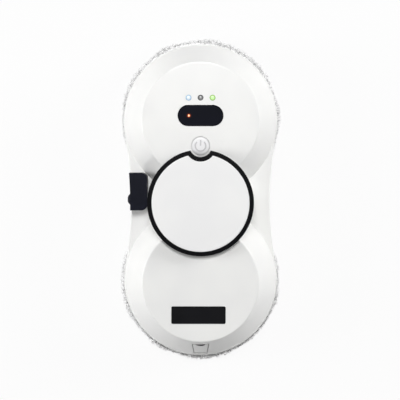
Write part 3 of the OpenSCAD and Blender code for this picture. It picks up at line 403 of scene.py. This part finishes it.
# %% Board and chip finishes
board_green, tree, shader = start_finish("board_green", 0.35)
place = tree.nodes.new("ShaderNodeTexCoord")
tracks = tree.nodes.new("ShaderNodeTexBrick")
for socket, value in (
    ("Scale", 260), ("Mortar Size", 0.09), ("Brick Width", 3.4), ("Row Height", 0.32),
    ("Color1", screen(26, 104, 62)), ("Color2", screen(34, 116, 70)),
    ("Mortar", screen(14, 72, 44)),
):
    tracks.inputs[socket].default_value = value
tree.links.new(place.outputs["Object"], tracks.inputs["Vector"])
tree.links.new(tracks.outputs["Color"], shader.inputs["Base Color"])
emboss(tree, shader, tracks.outputs["Fac"], 0.03 * MM)

chip_black = moulded("chip_black", (28, 29, 31), (44, 45, 47), (0.5, 0.65),
                     skin=0.4 * MM, depth=0.02 * MM)
print("board finishes:", board_green.name, chip_black.name)

# %% [markdown]
# ## Lights and lenses
# The three indicators are little lenses with a rim of a stronger colour, and the standby light is
# a small lamp. The grey lens doesn't glow, and its lighter middle is a painted highlight. The
# colours depend on the distance from the lens's axis. A picture on the lens could give that, but
# here each finish centres its coordinates on the axis with a Mapping node.

# %% Distance from an axis
def distance_from(tree, x, y, radius):
    """Distance from the vertical axis at x, y, as a share of radius."""
    place = tree.nodes.new("ShaderNodeTexCoord")
    centre = tree.nodes.new("ShaderNodeMapping")
    centre.vector_type = "POINT"
    centre.inputs["Scale"].default_value = (1 / radius, 1 / radius, 0)
    centre.inputs["Location"].default_value = (-x / radius, -y / radius, 0)
    reach = tree.nodes.new("ShaderNodeVectorMath")
    reach.operation = "LENGTH"
    tree.links.new(place.outputs["Object"], centre.inputs["Vector"])
    tree.links.new(centre.outputs["Vector"], reach.inputs[0])
    return reach.outputs["Value"]


def middle_of(node):
    """Centre of a solid, seen from above."""
    low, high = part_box(node)
    return (low.x + high.x) / 2, (low.y + high.y) / 2


print("standby light at, mm:", [round(c / MM, 1) for c in middle_of("standby_light")])


# %% Lenses
def lens(name, node, radius, stops, shine):
    """A small lens: its colours from the axis outwards, and how much of them it gives off."""
    finish, tree, shader = start_finish(name, 0.18)
    colour = tones(tree, distance_from(tree, *middle_of(node), radius), stops)
    tree.links.new(colour, shader.inputs["Base Color"])
    tree.links.new(colour, shader.inputs["Emission Color"])
    shader.inputs["Emission Strength"].default_value = shine
    emboss(tree, shader, grain(tree, 0.6 * MM), 0.01 * MM)
    return finish


lens_r, standby_r = 2.5 * MM, 1.0 * MM
blue_lens = lens("blue_lens", "left_indicator", lens_r, [
    (0.0, screen(236, 243, 248)), (0.55, screen(228, 239, 247)),
    (0.85, screen(168, 200, 226)), (1.0, screen(150, 186, 216))], 0.12)
# Grey lens: lighter in the middle as a painted highlight, darker towards the rim.
grey_lens = lens("grey_lens", "middle_indicator", lens_r, [
    (0.0, screen(176, 176, 176)), (0.5, screen(140, 140, 141)),
    (0.9, screen(96, 97, 99)), (1.0, screen(88, 89, 91))], 0.0)
green_lens = lens("green_lens", "right_indicator", lens_r, [
    (0.0, screen(206, 248, 180)), (0.6, screen(196, 242, 164)),
    (0.88, screen(150, 192, 96)), (1.0, screen(138, 176, 88))], 0.18)
standby_glow = lens("standby_glow", "standby_light", standby_r, [
    (0.0, screen(255, 240, 220)), (0.5, screen(250, 196, 150)),
    (1.0, screen(220, 112, 50))], 0.8)
print("lenses:", [finish.name for finish in (blue_lens, grey_lens, green_lens, standby_glow)])

# %% [markdown]
# ## Receiver window
# The receiver window is a dark plastic that lets infrared through, so it looks like black glass.
# The standby light shines through it and tints the plastic round it. Real see-through plastic
# would need a lit room behind it, so a faint glow painted round the light stands for that tint.

# %% Receiver window
halo_r = 3.4 * MM
window_dark, tree, shader = start_finish("window_dark", 0.12)
shader.inputs["Specular IOR Level"].default_value = 0.22
shader.inputs["Coat Weight"].default_value = 0.2
paint(tree, shader, grain(tree, 30 * MM), [(0.35, screen(5, 7, 19)), (0.65, screen(8, 10, 24))])
halo = tones(tree, distance_from(tree, *middle_of("standby_light"), halo_r), [
    (0.0, screen(250, 130, 60)), (0.36, screen(200, 80, 30)),
    (0.55, screen(70, 26, 12)), (0.8, BLACK)])
tree.links.new(halo, shader.inputs["Emission Color"])
shader.inputs["Emission Strength"].default_value = 0.5
print("window finish:", window_dark.name)

# %% [markdown]
# ## Finishes on the solids
# The solids already have the right shapes, so most only need their finish. A list of which
# finish goes where keeps this in one place, and a check names any solid that it forgot.

# %% Dress the solids
dress = {
    shell_white: ["top_shell", "bottom_shell", "port_flap"],
    cover_white: ["fan_cover"],
    button_white: ["power_button"],
    liner_pale: ["fan_housing", "battery_tray", "upper_gear_plate", "lower_gear_plate"],
    pocket_painted_shade: ["port_pocket"],
    ring_black: ["vent_ring"],
    plate_black: ["dark_plate", "power_inlet", "filler_plug", "switch_case"],
    spray_dark: ["spray_housing", "spray_nozzle"],
    grey_moulding: ["fan_motor_mount", "impeller", "upper_disc_carrier", "lower_disc_carrier",
                    "switch_plunger"],
    acetal: ["upper_spindle_gear", "lower_spindle_gear", "upper_idler_gear", "lower_idler_gear",
             "upper_motor_pinion", "lower_motor_pinion"],
    steel: ["fan_motor", "fan_shaft", "upper_drive_motor", "lower_drive_motor", "upper_idler_axle",
            "lower_idler_axle", "upper_spindle", "lower_spindle", "upper_disc_screw",
            "lower_disc_screw", "shell_screws", "board_screws", "flap_pin", "mist_disc"],
    bronze: ["upper_bearing", "lower_bearing"],
    rubber_and_gap_shade: ["upper_seal_ring", "lower_seal_ring"],
    cell_wrap: ["battery_cells"],
    wick_felt: ["wick", "upper_cleaning_cloth", "lower_cleaning_cloth"],
    board_green: ["main_board"],
    chip_black: ["board_components"],
    blue_lens: ["left_indicator"],
    grey_lens: ["middle_indicator"],
    green_lens: ["right_indicator"],
    standby_glow: ["standby_light"],
    window_dark: ["receiver_window"],
}
for finish, names in dress.items():
    for name in names:
        slots = frame["nodes"][name].material_slots
        if not slots:
            frame["nodes"][name].data.materials.append(finish)
        for slot in slots:
            slot.material = finish
bare = sorted(set(frame["nodes"]) - {name for names in dress.values() for name in names})
print("dressed", sum(len(names) for names in dress.values()), "solids; without a finish:", bare)

# %% [markdown]
# ## A new piece
# Pieces made here are handed over in one way: their shape goes into a mesh at its place in the
# world, the object stays at the origin and is parented to the body that carries it, the solids
# it stands for are hidden, and it gets its finish. Smooth shading with sharp edges past an angle
# suits turned and moulded shapes.

# %% Hand over a piece
def hand_over(name, shape, finish, body, stands_for=(), sharp_past=None):
    """Turns a bmesh into a finished piece that rides on body."""
    mesh = bpy.data.meshes.new(name)
    shape.to_mesh(mesh)
    shape.free()
    mesh.materials.append(finish)
    mesh.shade_smooth()
    if sharp_past:
        mesh.set_sharp_from_angle(angle=math.radians(sharp_past))
    piece = bpy.data.objects.new(name, mesh)
    bpy.context.scene.collection.objects.link(piece)
    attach(piece, body)
    if stands_for:
        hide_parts(*stands_for)
    print(name, "has", len(mesh.polygons), "faces and rides on", body)
    return piece


print("ready to hand over pieces")

# %% [markdown]
# ## Turned shapes
# A cloth and a button are round, so half of their outline says all about them. The outline is
# spun once round the vertical axis, which is quicker and cleaner than cutting a cylinder. The
# last copy of the outline lies on the first, and merging them closes the shape.

# %% Spin an outline
def turned(profile, steps, centre):
    """A closed (radius, height) profile in mm spun round the vertical axis at centre."""
    shape = bmesh.new()
    ring = [shape.verts.new((r * MM, 0, z * MM)) for r, z in profile]
    edges = [shape.edges.new((a, b)) for a, b in zip(ring, ring[1:] + ring[:1])]
    bmesh.ops.spin(shape, geom=ring + edges, cent=(0, 0, 0), axis=(0, 0, 1),
                   angle=2 * math.pi, steps=steps, use_merge=True)
    bmesh.ops.remove_doubles(shape, verts=shape.verts, dist=1e-7)
    bmesh.ops.recalc_face_normals(shape, faces=shape.faces)
    bmesh.ops.translate(shape, verts=shape.verts, vec=(centre[0], centre[1], 0))
    return shape


print("ready to turn shapes")

# %% [markdown]
# ## Strands of pile
# The cloths are microfibre pads with a looped pile, and in the photograph their curly ends stand
# out all round the rim. A hair system would give fine hairs, but they can't be kept as a solid
# piece, so each strand is a little mesh: a four-sided ring pushed out in steps, turned and
# narrowed at each step until it curls over. The faces that the later steps grow from stay
# inside the strand, where they don't show. Four kinds are enough, because each one is turned
# and sized by chance.

# %% One curled strand
def curled_strand(name, length, thickness, curl, steps=3):
    """A strand standing on the origin along +Z, bent by curl degrees in all."""
    strand = bmesh.new()
    bmesh.ops.create_circle(strand, cap_ends=True, segments=4, radius=thickness / 2)
    end = strand.faces[:]
    centre = Vector((0, 0, 0))
    for step in range(steps):
        lean = math.radians(curl * (step + 0.5) / steps)
        grown = bmesh.ops.extrude_face_region(strand, geom=end)["geom"]
        corners = [part for part in grown if isinstance(part, bmesh.types.BMVert)]
        end = [part for part in grown if isinstance(part, bmesh.types.BMFace)]
        move = Vector((math.sin(lean), 0, math.cos(lean))) * (length / steps)
        bmesh.ops.translate(strand, verts=corners, vec=move)
        centre += move
        narrow = 0.78 if step < steps - 1 else 0.45
        bmesh.ops.scale(strand, verts=corners, vec=(narrow, narrow, narrow),
                        space=Matrix.Translation(-centre))
        bmesh.ops.rotate(strand, verts=corners, cent=centre,
                         matrix=Matrix.Rotation(math.radians(curl / steps), 3, "Y"))
    bmesh.ops.recalc_face_normals(strand, faces=strand.faces)
    mesh = bpy.data.meshes.new(name)
    strand.to_mesh(mesh)
    strand.free()
    return mesh


strands = [
    curled_strand("strand_straight", length=1.0, thickness=0.30, curl=35),
    curled_strand("strand_bent", length=1.0, thickness=0.34, curl=80),
    curled_strand("strand_curled", length=1.0, thickness=0.30, curl=130),
    curled_strand("strand_hooked", length=0.9, thickness=0.36, curl=170),
]
print("faces of each strand:", [len(mesh.polygons) for mesh in strands])

# %% [markdown]
# ## Body of a cloth
# Under the pile the cloth is a thick ring that lies against the glass, turns up round the disc
# carrier and ends in a hem on top of it, which an elastic gathers into small folds. The ring is
# a closed outline spun round the disc's axis, a little inside the solid so that the pile has
# room. A cloth simulation would drape the hem, but it lies tight on the carrier, so its points
# are only moved down in a wave to make the folds.

# %% Outline of a cloth, in millimetres
hole_r, outer_r = 46.4, 72.3
under, floor_top, hem_under, hem_top = 1.0, 3.12, 10.95, 11.9
cloth_outline = [
    (hole_r, under), (58, under), (69.6, under), (71.4, 1.8), (outer_r, 3.6), (outer_r, 6.5),
    (outer_r, 9.4), (71.8, 11.2), (70.4, hem_top), (66, hem_top), (61.6, hem_top - 0.1),
    (61.2, 11.4), (61.6, hem_under), (69.8, hem_under), (69.8, floor_top), (58, floor_top),
    (hole_r, floor_top),
]
cloth_body = turned(cloth_outline, 168, (0, 0))
print("cloth body:", len(cloth_body.faces), "faces")

# %% Folds of the hem
fold_count, fold_run = 42, 10 * MM
fold_depth, fold_above, fold_inside, fold_from = 0.35 * MM, 11.2 * MM, 70.6 * MM, 71 * MM
for point in cloth_body.verts:
    reach = math.hypot(point.co.x, point.co.y)
    if point.co.z > fold_above and reach < fold_inside:
        turn = math.atan2(point.co.y, point.co.x)
        fold = 0.5 + 0.5 * math.sin(fold_count * turn + 1.3 * math.sin(5 * turn))
        point.co.z -= fold_depth * fold * (fold_from - reach) / fold_run
print("hem folded, top at, mm:", round(max(point.co.z for point in cloth_body.verts) / MM, 2))

# %% [markdown]
# ## Planting the pile
# Strands are planted over the face that wipes the glass and over the outer edge. On the edge
# they stand out by 2 to 4 millimetres, in clumps, because the pile bunches as it turns. On the
# face they lie over sideways, and a last step lifts what still reaches below the glass. The seed
# is fixed, so that the cloth comes out the same each time.

# %% Plant a strand
chance = random.Random(20)


def plant(pile, place, direction, length):
    """One strand of that length, root at place, leaning along direction."""
    mould = chance.choice(strands).copy()
    aim = direction.to_track_quat("Z", "Y").to_matrix().to_4x4()
    about = Matrix.Rotation(chance.uniform(0, 2 * math.pi), 4, "Z")
    width = (1.2 * MM + 0.5 * length) * chance.uniform(0.65, 1.05)
    size = Matrix.Diagonal((width, width, length, 1))
    mould.transform(Matrix.Translation(place) @ aim @ about @ size)
    pile.from_mesh(mould)
    bpy.data.meshes.remove(mould)


def clump(turn, height):
    """How far the pile stands out there, from 0 to 1: a slow and a quick wave round the edge."""
    slow = math.sin(7 * turn + 2.0 * math.sin(3 * turn) + 60 * height)
    quick = math.sin(31 * turn + 3.0 * math.sin(11 * turn) + 200 * height)
    return 0.5 + 0.3 * slow + 0.2 * quick


print("clumps on one side:", [round(clump(0.2 * step, 0.006), 2) for step in range(5)])

# %% Pile on the outer edge
edge_strands = 4600
edge_low, edge_high, edge_middle, straight_half = 1.4, 11.3, 6.5 * MM, 3.4 * MM
root_depth, lean_height = 0.25 * MM, 5 * MM
for _ in range(edge_strands):
    turn = chance.uniform(0, 2 * math.pi)
    height = chance.uniform(edge_low, edge_high) * MM
    past_straight = max(0.0, abs(height - edge_middle) - straight_half)
    root = outer_r * MM - root_depth - 0.8 * past_straight
    outwards = Vector((math.cos(turn), math.sin(turn), 0))
    along = Vector((-math.sin(turn), math.cos(turn), 0))
    slant = (height - edge_middle) / lean_height
    direction = (outwards + along * chance.uniform(-0.7, 0.7)
                 + Vector((0, 0, 0.5 * slant + chance.uniform(-0.35, 0.35)))).normalized()
    length = (2.5 + 2.9 * clump(turn, height) * chance.uniform(0.5, 1.2)) * MM
    plant(cloth_body, outwards * root + Vector((0, 0, height)), direction, length)
print("with", edge_strands, "strands on its edge:", len(cloth_body.faces), "faces")

# %% Pile on the wiping face
face_strands = 1440
face_inner, face_outer, face_root, lowest = 46.8, 71.2, 1.15 * MM, 0.02 * MM
for _ in range(face_strands):
    turn = chance.uniform(0, 2 * math.pi)
    reach = math.sqrt(chance.uniform(face_inner ** 2, face_outer ** 2)) * MM
    outwards = Vector((math.cos(turn), math.sin(turn), 0))
    lie = chance.uniform(0, 2 * math.pi)
    direction = Vector((math.cos(lie), math.sin(lie), -chance.uniform(0.25, 0.55))).normalized()
    length = chance.uniform(1.1, 1.7) * MM
    plant(cloth_body, outwards * reach + Vector((0, 0, face_root)), direction, length)
for point in cloth_body.verts:
    point.co.z = max(point.co.z, lowest)
print("with", face_strands, "strands on its face:", len(cloth_body.faces), "faces")

# %% [markdown]
# ## Microfibre
# Microfibre is white. Its grey flecks are painted shade, standing for the shadows between the
# curls. Two noises mix a grey and a white: one as big as a clump, one as big as a strand. Light
# that sinks into such thin strands is lost in the gaps and turns the pile grey, so the finish has
# no subsurface, only a little sheen that brightens the strands that are seen edge on.

# %% Microfibre finish
microfibre, tree, shader = start_finish("microfibre", 0.95)
# Painted shade: the grey flecks stand for the shadows between the curls.
painted_shade_flecks = sums(tree.nodes, tree.links, "MULTIPLY", grain(tree, 2.4 * MM), grain(tree, 0.7 * MM))
paint(tree, shader, painted_shade_flecks, [
    (0.15, screen(176, 176, 176)), (0.20, screen(240, 240, 240)), (0.26, screen(254, 254, 254))])
emboss(tree, shader, grain(tree, 0.4 * MM, 4.0), 0.08 * MM)
shader.inputs["Sheen Weight"].default_value = 0.6
shader.inputs["Sheen Roughness"].default_value = 0.5
print("cloth finish:", microfibre.name)

# %% [markdown]
# ## Two cloths
# Both discs carry the same cloth. The lower one is turned by about a third of a turn, so that
# the two don't show the same clumps in the same places.

# %% Two cloths
disc_low, disc_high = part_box("upper_cleaning_cloth")
disc_y = (disc_low.y + disc_high.y) / 2
for name, node, body, side, turn in (
    ("upper_pile_cloth", "upper_cleaning_cloth", "upper_disc", 1, 0.0),
    ("lower_pile_cloth", "lower_cleaning_cloth", "lower_disc", -1, 2.1),
):
    cloth_shape = cloth_body.copy()
    bmesh.ops.rotate(cloth_shape, verts=cloth_shape.verts, cent=(0, 0, 0),
                     matrix=Matrix.Rotation(turn, 3, "Z"))
    bmesh.ops.translate(cloth_shape, verts=cloth_shape.verts, vec=(0, side * disc_y, 0))
    cloth = hand_over(name, cloth_shape, microfibre, body, (node,))
cloth_body.free()
print("disc axes at y, mm:", round(disc_y / MM, 1), round(-disc_y / MM, 1))

# %% [markdown]
# ## Power button
# The button is a round cap that lies almost level with the housing, with a fine gap round it.
# Its profile is spun like a turned part. The solid stands 1.3 mm above the flat top, and the cap's
# face lies a millimetre lower than the solid's. The gap and the small chamfer beside it matter
# more than their size suggests: together they draw the thin grey circle of the photograph.

# %% Button cap, in millimetres
button_low, button_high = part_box("power_button")
button_centre = middle_of("power_button")
axis_r, cap_r, flange_r, flange_height, face_drop = 0.0001, 8.05, 9.6, 1.0, 1.0
foot, face = button_low.z / MM, button_high.z / MM - face_drop
cap_profile = [
    (axis_r, foot), (flange_r, foot), (flange_r, foot + flange_height),
    (cap_r, foot + flange_height),
    (cap_r, face - 0.15), (cap_r - 0.05, face - 0.04), (cap_r - 0.15, face), (5.0, face - 0.03),
    (axis_r, face - 0.04),
]
cap = turned(cap_profile, 96, button_centre)
hand_over("button_cap", cap, button_white, "button", ("power_button",),
          sharp_past=30)

# %% [markdown]
# ## Power symbol
# The sign on the button is the general one for power: an open ring with a bar through the gap.
# Text could draw it, but a mesh needs no font. Both are thin raised strokes: the ring is a small
# rectangle spun through three quarters of a turn, and the bar is a stretched cube.

# %% Ring of the symbol, in millimetres
stroke, sign_r, sunk, raised, gap_half = 1.35, 4.75, 0.12, 0.02, 43
symbol = bmesh.new()
corners = [symbol.verts.new(((sign_r + dx) * MM, 0, (face + dz) * MM)) for dx, dz in (
    (-stroke / 2, -sunk), (stroke / 2, -sunk), (stroke / 2, raised), (-stroke / 2, raised))]
end = symbol.faces.new(corners)
bmesh.ops.rotate(symbol, verts=symbol.verts, cent=(0, 0, 0),
                 matrix=Matrix.Rotation(math.radians(90 + gap_half), 3, "Z"))
bmesh.ops.spin(symbol, geom=[end], cent=(0, 0, 0), axis=(0, 0, 1),
               angle=math.radians(360 - 2 * gap_half), steps=44, use_merge=False)
bmesh.ops.remove_doubles(symbol, verts=symbol.verts, dist=1e-7)
print("ring of the symbol:", len(symbol.faces), "faces")

# %% Bar of the symbol, in millimetres
bar_length, bar_middle, bar_height = 5.2, 2.75, face + (raised - sunk) / 2
bar = bmesh.ops.create_cube(symbol, size=1)["verts"]
bmesh.ops.scale(symbol, verts=bar, vec=(stroke * MM, bar_length * MM, (sunk + raised) * MM))
bmesh.ops.translate(symbol, verts=bar, vec=(0, bar_middle * MM, bar_height * MM))
bmesh.ops.recalc_face_normals(symbol, faces=symbol.faces)
bmesh.ops.translate(symbol, verts=symbol.verts, vec=(button_centre[0], button_centre[1], 0))
symbol_grey = moulded("symbol_grey", (196, 195, 197), (204, 203, 205), (0.4, 0.5),
                      skin=0.6 * MM, depth=0.005 * MM)
hand_over("power_symbol", symbol, symbol_grey, "button", sharp_past=30)

# %% [markdown]
# ## Port flap
# The flap over the power port is white on its outer face, and its edge faces are dark: painted
# shade for the gap round it, which draws a dark outline and a dark crescent for the fingernail.
# The solid has the right shape, so this piece starts as a copy of it: the copy is merged, drawn
# in a little so that the outline shows, and only the faces that look out of the slope stay white.

# %% Flap, drawn in
side_gap, top_gap = 0.42 * MM, 0.4 * MM
flap_shape = bmesh.new()
flap_shape.from_mesh(frame["nodes"]["port_flap"].data)
bmesh.ops.remove_doubles(flap_shape, verts=flap_shape.verts, dist=1e-6)
flap_low, flap_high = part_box("port_flap")
flap_rise, flap_run = flap_high.z - flap_low.z, flap_high.y - flap_low.y
for point in flap_shape.verts:
    share_up = (point.co.z - flap_low.z) / flap_rise
    point.co.x *= 1 - side_gap / flap_high.x
    point.co.z -= top_gap * share_up
    point.co.y -= top_gap * share_up * flap_run / flap_rise
print("flap:", len(flap_shape.faces), "faces, half width, mm:", round(flap_high.x / MM, 2))

# %% White face, edges in painted gap shade
slope = math.radians(64)
slope_out = Vector((0, -math.sin(slope), math.cos(slope)))
outer_faces = {face.index for face in flap_shape.faces if face.normal.dot(slope_out) > 0.9}
flap_panel = hand_over("flap_panel", flap_shape, shell_white, "flap",
                       ("port_flap",), sharp_past=30)
# The edge faces take the dark rubber finish as painted shade for the gap round the flap.
flap_panel.data.materials.append(rubber_and_gap_shade)
for polygon in flap_panel.data.polygons:
    polygon.material_index = 0 if polygon.index in outer_faces else 1
print("faces of the flap that stay white:", len(outer_faces))
